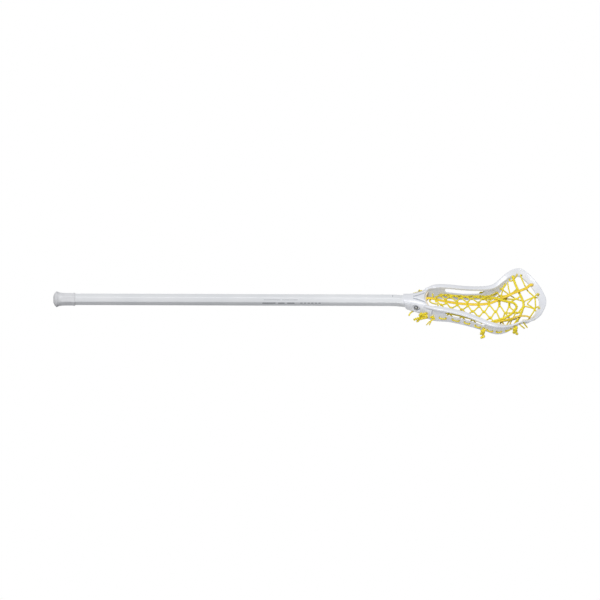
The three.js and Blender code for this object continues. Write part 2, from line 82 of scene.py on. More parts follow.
# Stations of the rim's outer edge: x, y, z, the wall foot's inward offset and depth, ledge width, its fall.
RIM_STATIONS = np.array([
    [824, 30, 8, 2, 35, 5, 0],
    [846, 39.6, 10, 5, 39.5, 11.5, 0],
    [876, 43.4, 6.5, 8, 38, 11.5, 0],
    [906, 46.3, -0.5, 8, 37, 11.5, 0],
    [934, 52.5, -8.5, 8.5, 33.7, 11.5, 0],
    [958, 60, -14.8, 9, 31, 11.5, 0.5],
    [976, 66.5, -15, 9, 31.5, 11.5, 1],
    [992, 76.5, -6.5, 10, 28, 11.5, 3],
    [1006, 84, 3, 10, 22, 11.5, 6],
    [1020, 86.6, 12, 10, 19, 11.5, 10],
    [1036, 83, 18, 10, 17, 12, 13],
    [1053, 75.3, 11.6, 11, 16, 13.5, 11],
    [1069, 58.7, 4.5, 12, 12.5, 15, 8],
    [1082, 37.3, 0.8, 13, 11, 16, 6],
    [1092, 0, 0, 13.5, 10.5, 16.5, 5.5],
]) * MM
LAST = len(RIM_STATIONS) - 1
SCOOP_FROM, SCOOP_TO = 7, 12  # the stations over which the walls turn into the scoop
CHAMFER = 2.5 * MM
CROWN = 2.5 * MM
LIP_DEPTH = 6.5 * MM
WALL = 3.2 * MM
WALL_IN = 6 * MM
FOOT_WIDTH = 4.6 * MM

# Sections of the throat: x, half width, top, bottom.
THROAT_SECTIONS = np.array([
    [778, 14.8, 12.1, -18.6],
    [790, 16.2, 10.6, -21.8],
    [803, 20.5, 11.5, -24],
    [816, 26, 11.8, -27],
    [826, 33, 12, -28.5],
    [837, 37.2, 12, -29],
]) * MM

# The net's height along its middle, and its fall half way out: x, z.
NET_MIDDLE = np.array([
    [829, 6.9], [847, 3.8], [869, -2.8], [894, -8.5], [917, -11.3], [943, -12.2],
    [967, -8], [1000, -11], [1030, -14], [1044, -11], [1068, -8],
]) * MM
NET_SHOULDER = np.array([
    [829, -1], [903, -0.5], [925, -2], [953, -5], [982, -9], [1000, -12], [1018, -8], [1042, -2], [1068, 0],
]) * MM
HOLE_RISE = np.array([[850, 13], [916, 12], [966, 9], [987, 11], [1011, 7], [1040, 7]]) * MM

# Rows of the net's crossings, from its middle out to the wall: x, and y where it varies.
MIDDLE_ROW = np.array([847.5, 869.5, 894, 917.5, 942.5, 965, 988, 1010]) * MM
INNER_ROW = np.array([[858, 14], [880, 17], [904, 18], [928, 20], [953, 21], [979, 21], [1001, 22]]) * MM
OUTER_ROW = np.array([[869, 24.5], [892, 26], [916, 27], [941, 30], [967, 34], [992, 40]]) * MM
RAIL_ROW = np.array([859, 877, 904, 929, 947, 984, 1000]) * MM
SPLIT = 7 * MM  # the middle row's distance from the centre line
PULL = {"left": 4.5 * MM, "right": 9 * MM}  # how far each side's edge is pulled up

SIDE_HOLES = np.array([856, 869, 884, 898, 911, 922, 935, 946, 962, 973, 983, 993, 1003, 1012]) * MM
SIDE_END_HOLE = 1029 * MM
TOP_HOLE = 1038 * MM
SHOOTING_HOLES = np.array([954, 1020]) * MM
SCOOP_HOLES = np.array([[1075, 21], [1062, 50]]) * MM
THROAT_TIE = (828 * MM, 19 * MM)
RAIL_TIE = (841 * MM, 15 * MM)
SCREW_LOW, SCREW_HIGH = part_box("head_screw")
SCREW_X = (SCREW_LOW.x + SCREW_HIGH.x) / 2
SCREW_Z = (SCREW_LOW.z + SCREW_HIGH.z) / 2
SCREW_SEAT = -16.8 * MM
SCREW_POCKET = (9.3 * MM, 8 * MM)
SCREW_HEAD_RADIUS = 4.4 * MM
SCREW_HEAD_HEIGHT = 2.8 * MM
SCREW_SHANK = 1.9 * MM
SCREW_HOLE = 2.2 * MM
SCREW_PITCH_MM = 1.4
WASHER_TOP = 1.4 * MM
INSIDE = -(WALL / 2 + 2 * MM)
OUTSIDE = FOOT_WIDTH / 2 + 1.7 * MM


# ---- Curves and lofts ----
def lookup(table, x):
    """The second column's value where the first column is x."""
    return float(np.interp(x, table[:, 0], table[:, 1]))


def vec(x, y, z):
    return np.array([x, y, z], float)


def point(x, y, z):
    """A point given in millimetres."""
    return vec(x, y, z) * MM


def course(*places):
    """Points given in millimetres."""
    return [point(*place) for place in places]


def unit(v):
    return v / max(1e-12, np.linalg.norm(v))


def turns(count):
    """Equally spaced angles round a circle."""
    return np.arange(count) * 2 * math.pi / count


def squarish(value, power):
    """A cosine or sine whose power below 1 squares the circle it draws."""
    return np.sign(value) * np.abs(value) ** power


def mirror(points):
    """A point, or a list of them, on the other side of the stick."""
    return np.asarray(points) * vec(1, -1, 1)


SIDES = (("left", np.asarray), ("right", mirror))


def spline(points, t, closed=False):
    """A point and its direction on a Catmull-Rom curve, t counted in control points."""
    pts = np.asarray(points, float)
    n = len(pts)
    if closed:
        i = int(math.floor(t)) % n
        w = t - math.floor(t)
        p0, p1, p2, p3 = (pts[(i + k) % n] for k in (-1, 0, 1, 2))
    else:
        i = min(int(t), n - 2)
        w = t - i
        p1, p2 = pts[i], pts[i + 1]
        p0 = pts[i - 1] if i > 0 else 2 * p1 - p2
        p3 = pts[i + 2] if i + 2 < n else 2 * p2 - p1
    m1, m2 = (p2 - p0) / 2, (p3 - p1) / 2
    a = 2 * p1 - 2 * p2 + m1 + m2
    b = -3 * p1 + 3 * p2 - 2 * m1 - m2
    return ((a * w + b) * w + m1) * w + p1, (3 * a * w + 2 * b) * w + m1


def resample(points, step, closed=False):
    """Evenly spaced points along the curve through the given ones."""
    spans = len(points) if closed else len(points) - 1
    fine = np.array([spline(points, t, closed)[0] for t in np.linspace(0, spans - 1e-9, spans * 14 + 1)])
    along = np.concatenate([[0], np.cumsum(np.linalg.norm(np.diff(fine, axis=0), axis=1))])
    count = max(4, int(round(along[-1] / step)))
    wanted = np.linspace(0, along[-1], count + 1)
    path = np.stack([np.interp(wanted, along, fine[:, k]) for k in range(3)], axis=1)
    return path[:-1] if closed else path


def path_frames(path, closed=False):
    """Two directions across the path at each point, turning as little as possible."""
    if closed:
        tangents = np.roll(path, -1, axis=0) - np.roll(path, 1, axis=0)
    else:
        tangents = np.gradient(path, axis=0)
    tangents /= np.maximum(1e-12, np.linalg.norm(tangents, axis=1, keepdims=True))
    across = np.zeros_like(path)
    first = vec(0, 0, 1) if abs(tangents[0][2]) < 0.9 else vec(0, 1, 0)
    across[0] = unit(first - tangents[0] * np.dot(first, tangents[0]))
    for i in range(1, len(path)):
        across[i] = unit(across[i - 1] - tangents[i] * np.dot(across[i - 1], tangents[i]))
    if closed:
        end = unit(across[-1] - tangents[0] * np.dot(across[-1], tangents[0]))
        sine = np.dot(np.cross(end, across[0]), tangents[0])
        twist = math.atan2(sine, np.dot(end, across[0]))
        turn = np.linspace(0, twist, len(path))[:, None]
        other = np.cross(tangents, across)
        across = across * np.cos(turn) + other * np.sin(turn)
    return across, np.cross(tangents, across)


class Builder:
    """Collects grids of points into one mesh, with a UV that runs round and along each grid."""

    def __init__(self):
        self.verts, self.faces, self.uvs = [], [], []

    def grid(self, rows, closed=False, round_closed=True):
        """Adds rows of points: closed joins the last row to the first, round_closed closes each row."""
        rows = np.asarray(rows, float)
        n, m = rows.shape[:2]
        base = sum(len(v) for v in self.verts)
        self.verts.append(rows.reshape(-1, 3))
        steps = np.linalg.norm(np.diff(rows[:, 0], axis=0), axis=1)
        along = np.concatenate([[0], np.cumsum(steps)]) / MM
        last = n if closed else n - 1
        for i in range(last):
            k = (i + 1) % n
            v0 = along[i]
            v1 = along[k] if k else along[-1] + (along[1] - along[0])
            for j in range(m if round_closed else m - 1):
                q = (j + 1) % m
                self.faces.append((base + i * m + j, base + i * m + q, base + k * m + q, base + k * m + j))
                u0, u1 = j / m, (j + 1) / m
                self.uvs.append(((u0, v0), (u1, v0), (u1, v1), (u0, v1)))
        if not closed and round_closed:
            for i, flip in ((0, True), (n - 1, False)):
                ring = [base + i * m + j for j in range(m)]
                centre = base + n * m + (0 if flip else 1)
                self.verts.append(rows[i].mean(axis=0)[None])
                for j in range(m):
                    a, b = ring[j], ring[(j + 1) % m]
                    self.faces.append((b, a, centre) if flip else (a, b, centre))
                    self.uvs.append(((0, along[i]), (0.1, along[i]), (0.05, along[i])))

    def mesh(self, name):
        """The collected grids as a smooth mesh whose faces all point outwards."""
        data = bpy.data.meshes.new(name)
        data.from_pydata(np.concatenate(self.verts).tolist(), [], self.faces)
        layer = data.uv_layers.new(name="UVMap")
        flat = [c for face in self.uvs for uv in face for c in uv]
        layer.data.foreach_set("uv", flat)
        shell = bmesh.new()
        shell.from_mesh(data)
        bmesh.ops.recalc_face_normals(shell, faces=shell.faces)
        shell.to_mesh(data)
        shell.free()
        data.polygons.foreach_set("use_smooth", [True] * len(data.polygons))
        data.update()
        return data


def add_object(name, data):
    obj = bpy.data.objects.new(name, data)
    bpy.context.scene.collection.objects.link(obj)
    return obj


def loft_object(name, sections, closed=False):
    """A skin over sections that each have the same number of points."""
    builder = Builder()
    builder.grid(sections, closed)
    return add_object(name, builder.mesh(name))


def finish_piece(obj, material, body, slot, *nodes, sharp=None):
    """Coats a piece, smooth but for edges sharper than an angle in degrees, and puts it on its body in
    place of its CAD nodes."""
    data = obj.data
    data.materials.clear()
    data.materials.append(material)
    data.polygons.foreach_set("use_smooth", [True] * len(data.polygons))
    if sharp:
        data.set_sharp_from_angle(angle=math.radians(sharp))
    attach(obj, body)
    if nodes:
        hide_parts(*nodes)


def baked(obj):
    """Replaces an object's mesh by its mesh with modifiers applied."""
    graph = bpy.context.evaluated_depsgraph_get()
    data = bpy.data.meshes.new_from_object(obj.evaluated_get(graph))
    obj.modifiers.clear()
    obj.data = data


def boolean(obj, cutter, operation="DIFFERENCE"):
    """Cuts one object by another, or joins them, and removes the second."""
    modifier = obj.modifiers.new("cut", "BOOLEAN")
    modifier.operation = operation
    modifier.object = cutter
    modifier.solver = "EXACT"
    baked(obj)
    bpy.data.objects.remove(cutter)


def moulded(obj, voxel, smoothing):
    """One clean skin with soft edges, as an injection moulding has."""
    remesh = obj.modifiers.new("skin", "REMESH")
    remesh.mode = "VOXEL"
    remesh.voxel_size = voxel
    soften = obj.modifiers.new("soften", "SMOOTH")
    soften.factor = 0.5
    soften.iterations = smoothing
    baked(obj)


# ---- Materials ----
class Surface:
    """A new material with its nodes, its links and its main shader."""

    def __init__(self, name):
        self.material = bpy.data.materials.new(name)
        self.material.use_nodes = True
        self.nodes = self.material.node_tree.nodes
        self.links = self.material.node_tree.links
        self.shader = self.nodes["Principled BSDF"]

    def node(self, kind, **inputs):
        """A node whose inputs take numbers or other nodes' outputs; _ stands for a space in their names."""
        made = self.nodes.new(kind)
        for name, value in inputs.items():
            self.put(name.replace("_", " "), value, made)
        return made

    def put(self, name, value, node=None):
        target = (node or self.shader).inputs[name]
        if isinstance(value, bpy.types.NodeSocket):
            self.links.new(value, target)
        else:
            target.default_value = value

    def coordinates(self, scale=(1, 1, 1)):
        """Places on the object, stretched by a scale along each axis."""
        places = self.nodes.new("ShaderNodeTexCoord").outputs["Object"]
        return self.node("ShaderNodeMapping", Vector=places, Scale=scale).outputs["Vector"]

    def noise(self, scale, detail, places):
        return self.node("ShaderNodeTexNoise", Scale=scale, Detail=detail, Vector=places).outputs["Fac"]

    def ramp(self, value, dark, light, low=0.3, high=0.7):
        """A colour that goes from dark to light as a value goes from low to high."""
        made = self.node("ShaderNodeValToRGB", Fac=value)
        for element, at, colour in zip(made.color_ramp.elements, (low, high), (dark, light)):
            element.position = at
            element.color = (*colour, 1)
        return made.outputs["Color"]

    def spread(self, value, low, high):
        return self.node("ShaderNodeMapRange", Value=value, To_Min=low, To_Max=high).outputs["Result"]

    def multiply(self, first, second, share):
        made = self.node("ShaderNodeMixRGB", Fac=share, Color1=first, Color2=second)
        made.blend_type = "MULTIPLY"
        return made.outputs["Color"]

    def bump(self, height, distance, strength, over=None):
        """A bumped normal, over another one if given."""
        made = self.node("ShaderNodeBump", Height=height, Distance=distance, Strength=strength)
        if over:
            self.put("Normal", over, made)
        return made.outputs["Normal"]


def lacquer_material():
    """White lacquer over a composite tube: faint cloudiness, fine lengthwise rub marks, a clear coat."""
    s = Surface("white_lacquer")
    places = s.coordinates()
    cloud = s.noise(14, 4, places)
    rubs = s.noise(6, 5, s.coordinates((6, 240, 240)))
    peel = s.noise(700, 2, places)
    s.put("Base Color", s.ramp(cloud, (0.70, 0.715, 0.74), (0.755, 0.765, 0.785)))
    s.put("Roughness", s.spread(rubs, 0.22, 0.42))
    s.put("Normal", s.bump(rubs, 0.00002, 0.3, s.bump(peel, 0.00004, 0.35)))
    s.put("Coat Weight", 0.35)
    s.put("Coat Roughness", 0.12)
    return s.material


def rubber_material():
    """Matt white rubber with a fine grain and faint blotches."""
    s = Surface("white_rubber")
    places = s.coordinates()
    blotch = s.noise(60, 4, places)
    grain = s.noise(1500, 3, places)
    s.put("Base Color", s.ramp(blotch, (0.64, 0.645, 0.67), (0.72, 0.725, 0.745)))
    s.put("Roughness", s.spread(blotch, 0.42, 0.6))
    s.put("Normal", s.bump(grain, 0.00006, 0.35))
    return s.material


def nylon_material():
    """Moulded white nylon: soft gloss, a slight orange peel, and painted shade that darkens its creases. A
    little emission is painted light: a glow, dimmed in the creases, that lifts its shaded faces in place of
    the light that comes through its thin walls."""
    s = Surface("white_nylon")
    places = s.coordinates()
    cloud = s.noise(30, 4, places)
    peel = s.noise(130, 2, places)
    hollows = s.nodes.new("ShaderNodeNewGeometry").outputs["Pointiness"]
    # painted shade: the colour darkens where the surface is hollow, in creases and grooves
    painted_crease_shade = s.ramp(hollows, (0.42, 0.45, 0.52), (0.93, 0.94, 1), low=0.472, high=0.494)
    tint = s.ramp(cloud, (0.527, 0.532, 0.53), (0.58, 0.585, 0.575))
    s.put("Base Color", s.multiply(tint, painted_crease_shade, 1.0))
    # painted light: a glow that lifts the shaded faces, dimmed by the painted crease shade
    s.put("Emission Color", painted_crease_shade)
    s.put("Emission Strength", 0.23)
    s.put("Roughness", s.spread(cloud, 0.26, 0.4))
    s.put("Normal", s.bump(peel, 0.00008, 0.25))
    s.put("Coat Weight", 0.15)
    return s.material


def foam_material():
    """Closed-cell foam: beige, with small pores."""
    s = Surface("stop_foam")
    places = s.coordinates()
    blotch = s.noise(220, 4, places)
    cells = s.node("ShaderNodeTexVoronoi", Scale=1400, Vector=places).outputs["Distance"]
    s.put("Base Color", s.ramp(blotch, (0.66, 0.58, 0.44), (0.82, 0.74, 0.60), high=0.75))
    s.put("Roughness", 0.95)
    s.put("Normal", s.bump(cells, 0.0003, 0.8))
    return s.material


def steel_material():
    """Zinc-plated steel with turning marks."""
    s = Surface("plated_steel")
    marks = s.noise(3, 4, s.coordinates((900, 60, 900)))
    s.put("Base Color", s.ramp(marks, (0.36, 0.37, 0.38), (0.52, 0.53, 0.54)))
    s.put("Metallic", 1.0)
    s.put("Roughness", s.spread(marks, 0.22, 0.42))
    s.put("Normal", s.bump(marks, 0.00003, 0.4))
    return s.material


def cord_material(name, dark, light, fibres):
    """Nylon cord: yarns run round and along its UV, with a colour that varies, painted shade in the gaps
    between the yarns, a sheen and some fuzz.
    """
    s = Surface(name)
    uv = s.nodes.new("ShaderNodeTexCoord").outputs["UV"]
    lay = s.node("ShaderNodeMapping", Vector=uv, Scale=(fibres, 1.6, 1), Rotation=(0, 0, 0.5))
    yarn = s.node("ShaderNodeTexWave", Scale=1.0, Distortion=1.2, Detail=2.0,
                  Vector=lay.outputs["Vector"]).outputs["Fac"]
    places = s.coordinates()
    blotch = s.noise(160, 4, places)
    fuzz = s.noise(2600, 3, places)
    tint = s.ramp(blotch, dark, light, low=0.25)
    # painted shade: the colour darkens in the gaps between the yarns
    yarn_gap_shade = s.ramp(yarn, (0.55, 0.5, 0.42), (1, 1, 1), low=0.1, high=0.6)
    s.put("Base Color", s.multiply(tint, yarn_gap_shade, 0.22))
    s.put("Roughness", 0.62)
    s.put("Sheen Weight", 0.25)
    s.put("Sheen Roughness", 0.4)
    s.put("Normal", s.bump(fuzz, 0.00006, 0.5, s.bump(yarn, 0.00012, 0.6)))
    return s.material


def print_material():
    """Grey ink, a little worn."""
    s = Surface("grey_print")
    worn = s.noise(900, 5, s.coordinates())
    s.put("Base Color", s.ramp(worn, (0.27, 0.28, 0.31), (0.36, 0.37, 0.40), low=0.35))
    s.put("Roughness", s.spread(worn, 0.35, 0.55))
    return s.material


def floor_material():
    """A pale floor that glows plain white to the camera and reflects grey to everything else."""
    s = Surface("studio_floor")
    s.put("Base Color", (0.42, 0.42, 0.43, 1))
    s.put("Roughness", 0.9)
    glow = s.nodes.new("ShaderNodeEmission")
    to_camera = s.nodes.new("ShaderNodeLightPath").outputs["Is Camera Ray"]
    mix = s.node("ShaderNodeMixShader", Fac=to_camera)
    s.links.new(s.shader.outputs["BSDF"], mix.inputs[1])
    s.links.new(glow.outputs["Emission"], mix.inputs[2])
    s.links.new(mix.outputs["Shader"], s.nodes["Material Output"].inputs["Surface"])
    return s.material


LACQUER = lacquer_material()
RUBBER = rubber_material()
NYLON = nylon_material()
FOAM = foam_material()
STEEL = steel_material()
PRINT = print_material()
CORDS = {
    "lace": cord_material("lace_yellow", (0.73, 0.56, 0.006), (0.87, 0.755, 0.022), 5),
    "shooting_string": cord_material("string_yellow", (0.75, 0.58, 0.008), (0.88, 0.765, 0.030), 4),
    "thong": cord_material("thong_yellow", (0.78, 0.53, 0.015), (0.92, 0.69, 0.055), 4),
}


# ---- Cords ----
def tapered(count, tip, gain):
    """Sizes along a cord: tip at both ends, growing by gain at each point up to 1."""
    from_end = np.minimum(np.arange(count), np.arange(count)[::-1])
    return np.clip(tip + gain * from_end, 0, 1)[:, None]


def tube_rows(path, across, other, wide, high):
    """Rings round a path, whose points reach wide and high along the two directions across it."""
    return path[:, None] + across[:, None] * wide[..., None] + other[:, None] * high[..., None]


def braid(builder, points, radius=LACE, closed=False):
    """A braided lace: raised yarns in a staggered lattice round it."""
    step_mm, lattice_mm, relief = 0.5, 2.4, 0.11
    path = resample(points, step_mm * MM / DETAIL, closed)
    across, other = path_frames(path, closed)
    angles = turns(12)
    along = np.arange(len(path)) * step_mm * 2 * math.pi / lattice_mm
    size = radius * (1 + relief * np.cos(3 * angles)[None, :] * np.cos(along)[:, None])
    if not closed:
        size *= tapered(len(path), 0.72, 0.14)
    builder.grid(tube_rows(path, across, other, size * np.cos(angles), size * np.sin(angles)), closed)


def twist(builder, points, radius=THICK, strands=3, pitch=13 * MM):
    """A twisted string: strands wound round one another."""
    step = 0.8 * MM / DETAIL
    path = resample(points, step)
    across, other = path_frames(path)
    angles = turns(10)
    size = radius * 0.56 * tapered(len(path), 0.6, 0.2)
    turn = np.arange(len(path)) * step * 2 * math.pi / pitch
    for k in range(strands):
        phase = (turn + 2 * math.pi * k / strands)[:, None]
        centre = path + (radius * 0.47) * (across * np.cos(phase) + other * np.sin(phase))
        builder.grid(tube_rows(centre, across, other, size * np.cos(angles), size * np.sin(angles)))


def flat_braid(builder, points):
    """The thong: a flat plait with chevrons on its faces, lying level."""
    step = 0.6 * MM / DETAIL
    path = resample(points, step)
    across, other = path_frames(path)
    c, s = np.cos(turns(20)), np.sin(turns(20))
    along = np.arange(len(path))[:, None] * step / THONG_PITCH
    chevron = np.cos(2 * math.pi * (along - 1.1 * np.abs(c)[None, :]))
    thick = THONG_HALF_HEIGHT * squarish(s, 0.75)[None, :] * (1 + 0.13 * chevron)
    wide = (1 + 0.04 * np.cos(2 * math.pi * along)) * (THONG_HALF_WIDTH * squarish(c, 0.8))[None, :]
    taper = tapered(len(path), 0.55, 0.22)
    builder.grid(tube_rows(path, across, other, thick * taper, wide * taper))


def cord_piece(builder, name, kind, node):
    """Makes a builder's cords the one piece that stands for a CAD string."""
    cord = add_object(name, builder.mesh(name))
    finish_piece(cord, CORDS[kind], "stick", kind, node)


def overhand(at, direction, up, size):
    """Points of a pulled-tight overhand knot, entered against direction and left along it."""
    forward, up = unit(direction), unit(up - unit(direction) * np.dot(up, unit(direction)))
    side = np.cross(forward, up)
    knot = []
    for t in np.linspace(-2.05, 2.05, 15):
        a = t ** 3 - 3 * t
        b = t ** 4 - 4 * t ** 2
        c = t ** 5 / 5 - 2 * t
        knot.append(at + size * (forward * c * 0.8 + side * a * 0.72 + up * (b + 1.5) * 0.5))
    return knot


# ---- Shaft ----
def axis_height(x):
    """The shaft's axis: level, then bent down towards the head."""
    bent = max(0.0, min(x, BEND_END) - BEND_START)
    return -BEND_SLOPE * bent * bent / (2 * (BEND_END - BEND_START)) - BEND_SLOPE * max(0.0, x - BEND_END)


def axis_tilt(x):
    return math.atan(BEND_SLOPE * min(1.0, max(0.0, (x - BEND_START) / (BEND_END - BEND_START))))


def octagon_at(x, flats, rounding, per_corner=4):
    """An octagon with rounded corners, square to the shaft's axis."""
    reach = (flats / 2 - rounding) / math.cos(math.pi / 8)
    tilt, ring = axis_tilt(x), []
    for i in range(8):
        corner = (i + 0.5) * math.pi / 4
        for k in range(per_corner):
            angle = corner + (k / (per_corner - 1) - 0.5) * math.pi / 4
            y = reach * math.cos(corner) + rounding * math.cos(angle)
            up = reach * math.sin(corner) + rounding * math.sin(angle)
            ring.append(vec(x + up * math.sin(tilt), y, axis_height(x) + up * math.cos(tilt)))
    return ring


def tube_stations(start, end):
    """Places along the shaft, close together where it bends."""
    bend = np.linspace(BEND_START, BEND_END, 9)
    straight = np.linspace(start, BEND_START, 12)[:-1] if start < BEND_START else []
    return [*straight, *[x for x in bend if x > start], end]


def make_shaft():
    """The hollow tube, with its end edges broken."""
    edge = 0.5 * MM
    outer, inner = SHAFT_FLATS, SHAFT_FLATS - 2 * SHAFT_WALL
    xs = tube_stations(SHAFT_START + edge, SHAFT_END - edge)
    rings = [(SHAFT_START, outer - 2 * edge), *[(x, outer) for x in xs], (SHAFT_END, outer - 2 * edge)]
    rings += [(x, inner) for x in reversed([SHAFT_START, *xs, SHAFT_END])]
    rows = [octagon_at(x, flats, SHAFT_ROUNDING) for x, flats in rings]
    shaft = loft_object("shaft_tube", rows, closed=True)
    finish_piece(shaft, LACQUER, "stick", "shaft_composite", "shaft", sharp=30)


def make_shaft_print():
    """Plain grey bars on the flats that face the side, and one dash before the head."""
    builder = Builder()
    lift = SHAFT_FLATS / 2 + 0.06 * MM

    def bar_on_flat(turned, x0, x1, low, high):
        """A bar from x0 to x1 on the flat turned by an angle from the top, across it from low to high."""
        normal = vec(0, -math.sin(turned), math.cos(turned))
        down = vec(0, -math.cos(turned), -math.sin(turned))
        rows = [[point(x, 0, 0) + normal * lift + down * d * MM for d in (low, high)] for x in (x0, x1)]
        builder.grid(rows, round_closed=False)

    slanting, facing = math.pi / 4, math.pi / 2
    for x0, x1 in ((463, 492), (498, 512), (518, 534)):
        bar_on_flat(facing, x0, x1, -4.3, -1.2)
    for k in range(6):
        bar_on_flat(facing, 547 + 8 * k, 552 + 8 * k, -4.3, -1.8)
    for x0, x1 in ((466, 503), (507, 541)):
        bar_on_flat(slanting, x0, x1, -0.6, 0.2)
    bar_on_flat(0, 750.5, 752, -2.5, 1.5)
    bars = add_object("shaft_print_bars", builder.mesh("shaft_print_bars"))
    finish_piece(bars, PRINT, "stick", "shaft_composite")


# ---- End cap ----
def make_cap():
    """A dimpled dome, a crisp rim, a trumpet-shaped neck and an octagonal sleeve with a rolled edge."""
    sleeve = SHAFT_FLATS / 2 + GAP + CAP_WALL
    neck = sleeve + 0.4 * MM
    bore = SHAFT_FLATS / 2 + 0.12 * MM
    corner = 1.068  # how far the sleeve's corners reach, less their rounding

    def ring(x, radius, octagonal=0.0):
        """A round ring, or one drawn out towards the sleeve's flats and corners."""
        points = []
        for angle in turns(64) + math.pi / 64:
            off_flat = (angle + math.pi / 8) % (math.pi / 4) - math.pi / 8
            size = radius + octagonal * (sleeve * min(1 / math.cos(off_flat), corner) - sleeve)
            points.append(vec(x, size * math.cos(angle), size * math.sin(angle)))
        return points

    def swept(start, pull, end, first=0.0, octagonal=0.0):
        """Rings along a curve from start to end, drawn towards pull; each is an x and a radius."""
        rings = []
        for t in np.linspace(first, 1, 12):
            weights = ((1 - t) ** 2, 2 * t * (1 - t), t * t)
            x, radius = (sum(w * p[i] for w, p in zip(weights, (start, pull, end))) for i in (0, 1))
            rings.append(ring(x, radius, octagonal * t ** 2))
        return rings

    before_rim = (CAP_RIM_X - 0.5 * MM, CAP_RIM_RADIUS - 0.3 * MM)
    after_rim = (CAP_RIM_X + 0.6 * MM, CAP_RIM_RADIUS - 0.2 * MM)
    rows = [ring(0, radius * MM) for radius in (0.4, 3, 5.6, 6.4)]
    rows += swept((0, CAP_FACE_RADIUS), (2.2 * MM, 14.4 * MM), before_rim, first=0.02)
    rows.append(ring(CAP_RIM_X, CAP_RIM_RADIUS))
    rows += swept(after_rim, (13 * MM, 14.2 * MM), (CAP_SLEEVE_X, neck), octagonal=1.0)
    for x, extra in ((24, 0), (38, 0), (43.4, 0), (44, 0.15), (44.5, 0.5), (46.6, 0.5), (47.5, 0.4),
                     (48, 0)):
        rows.append(ring(min(x * MM, CAP_LENGTH), sleeve + extra * MM, 1))
    rows += [ring(x, bore, 0.97) for x in (CAP_LENGTH, CAP_LENGTH - 1 * MM, 9 * MM)]
    rows += [ring(SHAFT_START - 0.2 * MM, bore - 0.4 * MM, 0.97), ring(SHAFT_START - 0.3 * MM, 0.4 * MM)]
    cap = loft_object("end_cap_rubber", rows)
    finish_piece(cap, RUBBER, "end_cap", "cap_rubber", "butt_end_cap", sharp=20)


# ---- Head ----
OUTLINE = np.concatenate([RIM_STATIONS[:, :3], RIM_STATIONS[-2::-1, :3] * [1, -1, 1]])


def station(t):
    """The rim's section at station t: its frame, its foot, and where its wall meets its lip."""
    rim, tangent = spline(OUTLINE, t)
    out = unit(vec(-tangent[1], tangent[0], 0))
    i = min(int(t), LAST - 1)
    foot_in, depth, ledge, drop = RIM_STATIONS[i][3:] * (1 - (t - i)) + RIM_STATIONS[i + 1][3:] * (t - i)
    share = min(1.0, max(0.0, (t - SCOOP_FROM) / (SCOOP_TO - SCOOP_FROM)))
    scoop = share * share * (3 - 2 * share)
    wall_in = min(foot_in, WALL_IN) * (1 - scoop) + foot_in * scoop
    lip = LIP_DEPTH - 2.5 * MM * scoop
    crown = CROWN - 1 * MM * scoop
    fall = drop * (wall_in - CHAMFER) / (ledge - CHAMFER)

    def at(inward, up):
        return rim - out * inward + vec(0, 0, up)

    wall_top = at(wall_in, crown - fall - lip + 0.8 * MM)
    under = min(1.6 * MM, wall_in - WALL / 2 - 0.1 * MM)
    return SimpleNamespace(rim=rim, out=out, ledge=ledge, drop=drop, crown=crown, lip=lip, at=at,
                           under=under, wall_top=wall_top, foot=at(foot_in, -depth))


def rim_section(t):
    """One closed section: over the rim and its ledge, down inside the wall, round its foot and back up."""
    s = station(t)
    at, out = s.at, s.out
    inner_z = s.crown - s.drop

    def beside(p, outward, up):
        return p + out * outward + vec(0, 0, up)

    return [
        at(0, 0), at(0.6 * MM, 1.4 * MM), at(CHAMFER, s.crown),
        at(s.ledge * 0.55, s.crown - s.drop * 0.42 + 0.1 * MM),
        at(s.ledge, inner_z), at(s.ledge - 0.5 * MM, inner_z - s.lip),
        beside(s.wall_top, -WALL / 2, 0), beside(s.foot, -WALL / 2, 1.5 * MM), s.foot,
        beside(s.foot, FOOT_WIDTH / 2, 1 * MM), beside(s.foot, FOOT_WIDTH / 2, 4 * MM),
        beside(s.wall_top, WALL / 2, 0), at(s.under, -3.1 * MM), at(0.1 * MM, -2.6 * MM),
    ]


def rim_rings():
    """Sections all round the head, with a shrunk one at each end that sinks into the throat."""
    steps = 6
    half = [rim_section(i / steps) for i in range(LAST * steps + 1)]
    middle = np.mean(half[0], axis=0)
    half.insert(0, [middle + point(-10, -7, 2) + (p - middle) * 0.3 for p in half[0]])
    return half + [mirror(section) for section in half[-2::-1]]


def throat_section(x):
    """A squarish ring of the throat; the first ones lean, as the collar's mouth does."""
    places, *columns = THROAT_SECTIONS.T
    half_width, top, bottom = (np.interp(x, places, c) for c in columns)
    lean = 0.25 * max(0.0, 1 - (x - THROAT_SECTIONS[0][0]) / (12 * MM))
    ring = []
    for angle in turns(40) + math.pi / 40:
        y = half_width * squarish(math.cos(angle), 0.62)
        z = (top + bottom) / 2 + (top - bottom) / 2 * squarish(math.sin(angle), 0.62)
        ring.append(vec(x - lean * (z - axis_height(x)), y, z))
    return ring


def station_at(x):
    """The +Y side's station whose wall foot stands at x."""
    low, high = 0.0, float(LAST)
    for _ in range(26):
        middle = (low + high) / 2
        if station(middle).foot[0] < x:
            low = middle
        else:
            high = middle
    return station(low)


def beside_wall(x, outward, rise=None):
    """A place beside the +Y wall at x, so far out from its middle and, as a rule, level with its holes."""
    s = station_at(x)
    rise = lookup(HOLE_RISE, x) if rise is None else rise
    share = rise / (s.wall_top[2] - s.foot[2])
    return s.foot + (s.wall_top - s.foot) * share + s.out * outward


def tube_object(points, radius, sides=20):
    """A plain rod along a path, for cutting."""
    path = np.asarray(points, float)
    across, other = path_frames(path)
    wide, high = np.cos(turns(sides))[None, :], np.sin(turns(sides))[None, :]
    return loft_object("cutter", tube_rows(path, across, other, radius * wide, radius * high))


